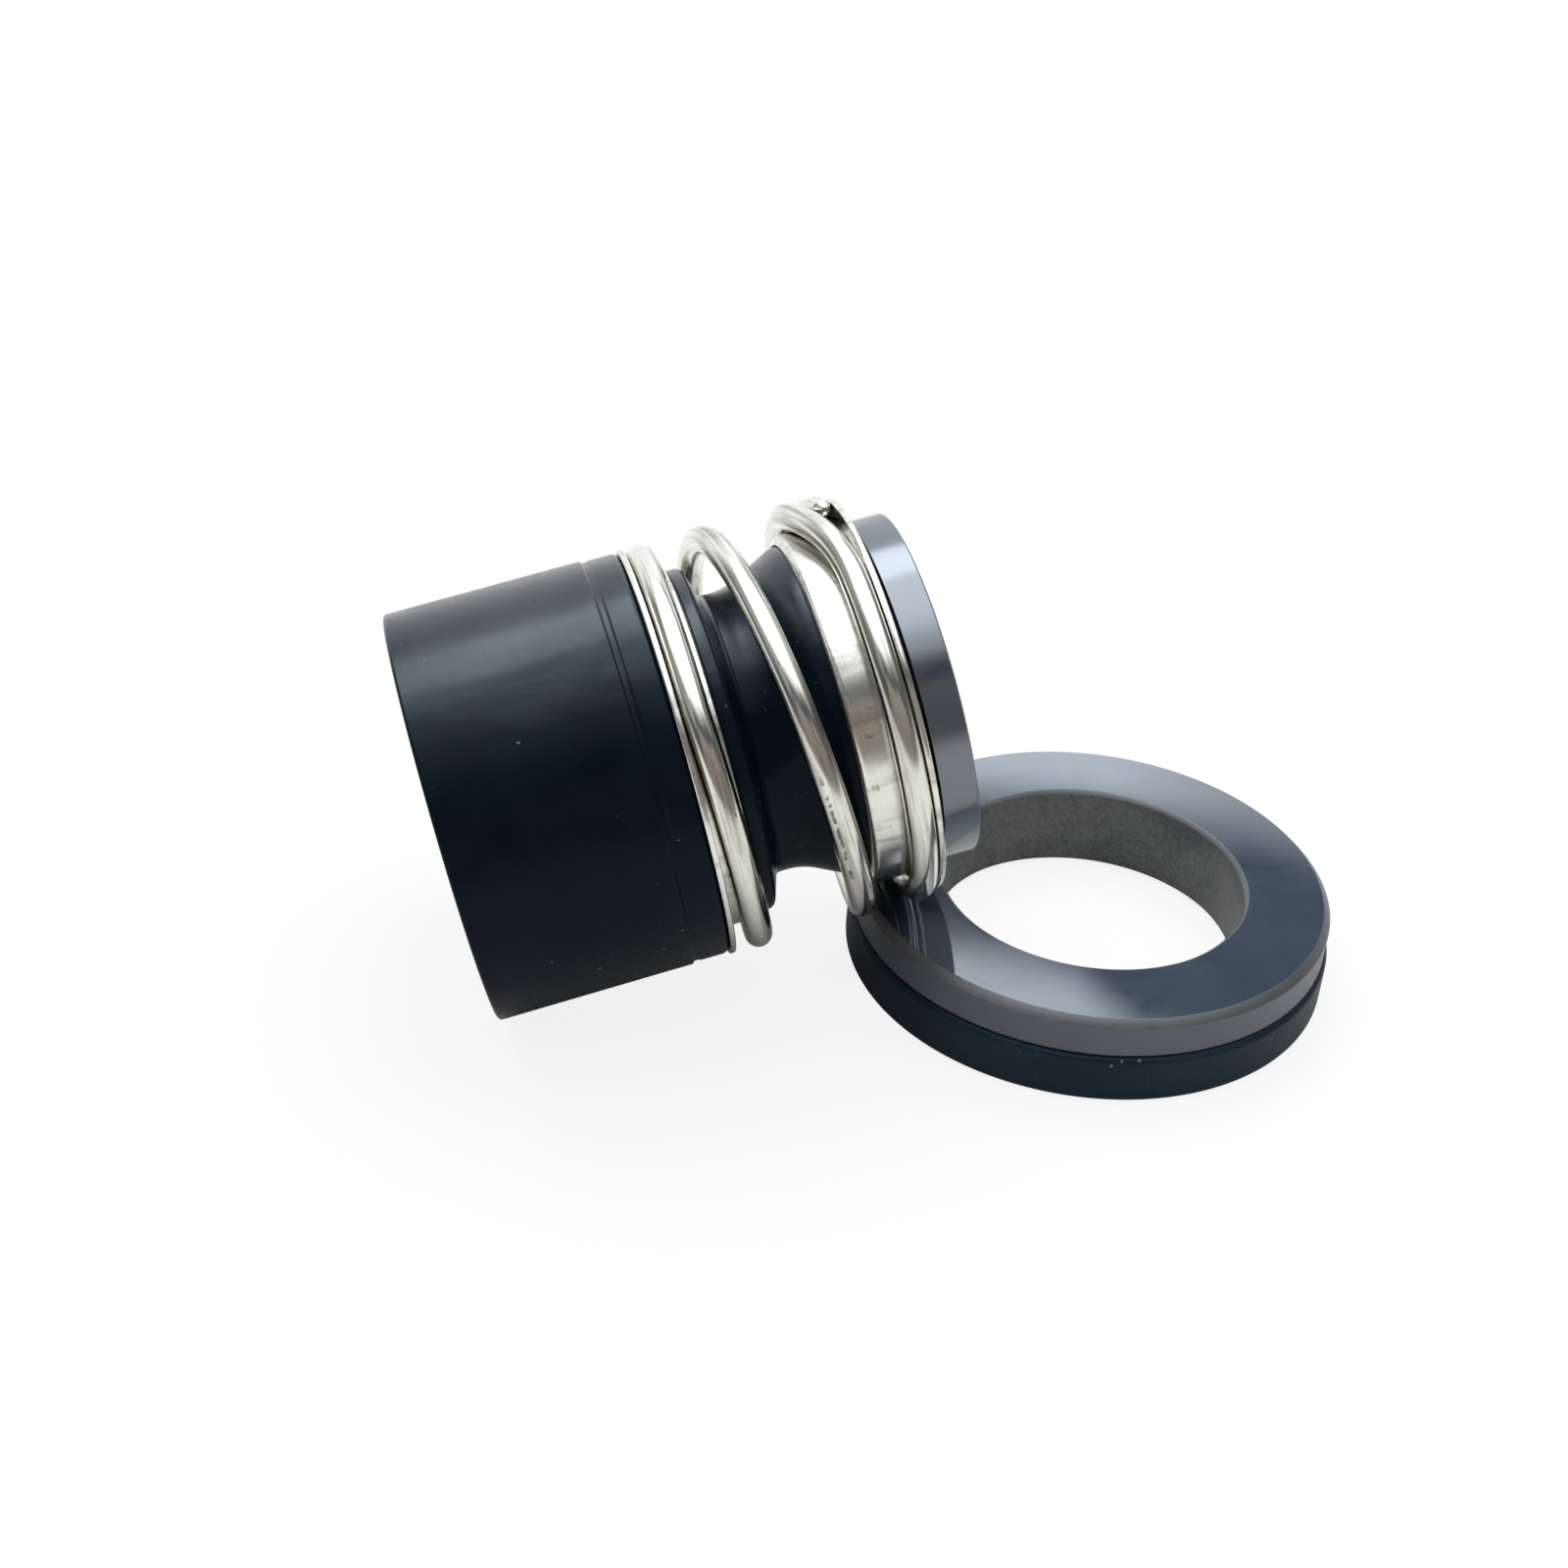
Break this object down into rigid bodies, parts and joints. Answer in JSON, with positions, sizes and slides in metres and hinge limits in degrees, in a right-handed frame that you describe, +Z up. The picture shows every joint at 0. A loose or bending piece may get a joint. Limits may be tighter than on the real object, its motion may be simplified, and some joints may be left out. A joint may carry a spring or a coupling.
{
  "type": "component mechanical seal",
  "caption": "Rubber-bellows shaft seal: a spring-loaded rotary head with a carbide face ring, and the stationary seat ring it seals against.",
  "frame": {"origin": "on the resting surface, under the middle of the loose pair's bounding box", "axes": "+Z up and along the seat's axis; the head's axis lies in an XZ plane and rises towards +X, where the seat lies; +Y is across the pair"},
  "size_m": [0.078, 0.0414, 0.04],
  "materials": {
    "bellows_rubber": "moulded satin black",
    "gasket_rubber": "moulded satin black",
    "collar_steel": "pressed stainless sheet, bright",
    "spring_steel": "drawn stainless wire, bright",
    "face_carbide": "ground silicon carbide, lapped face",
    "seat_carbide": "silicon carbide, lapped top and plain bore"
  },
  "bodies": {
    "tail_and_seat": {"bellows": "bellows_rubber", "tail_collar": "collar_steel", "spring": "spring_steel", "seat_ring": "seat_carbide", "seat_gasket": "gasket_rubber"},
    "face_carrier": {"drive_collar": "collar_steel", "face_ring": "face_carbide"}
  },
  "joints": [
    {"name": "face_travel", "type": "slide", "parent": "tail_and_seat", "child": "face_carrier", "axis": [0.9727, 0, 0.2321], "range_m": [-0.0035, 0], "stiffness_N_per_m": 4500, "deforming": ["spring", "bellows"]}
  ]
}
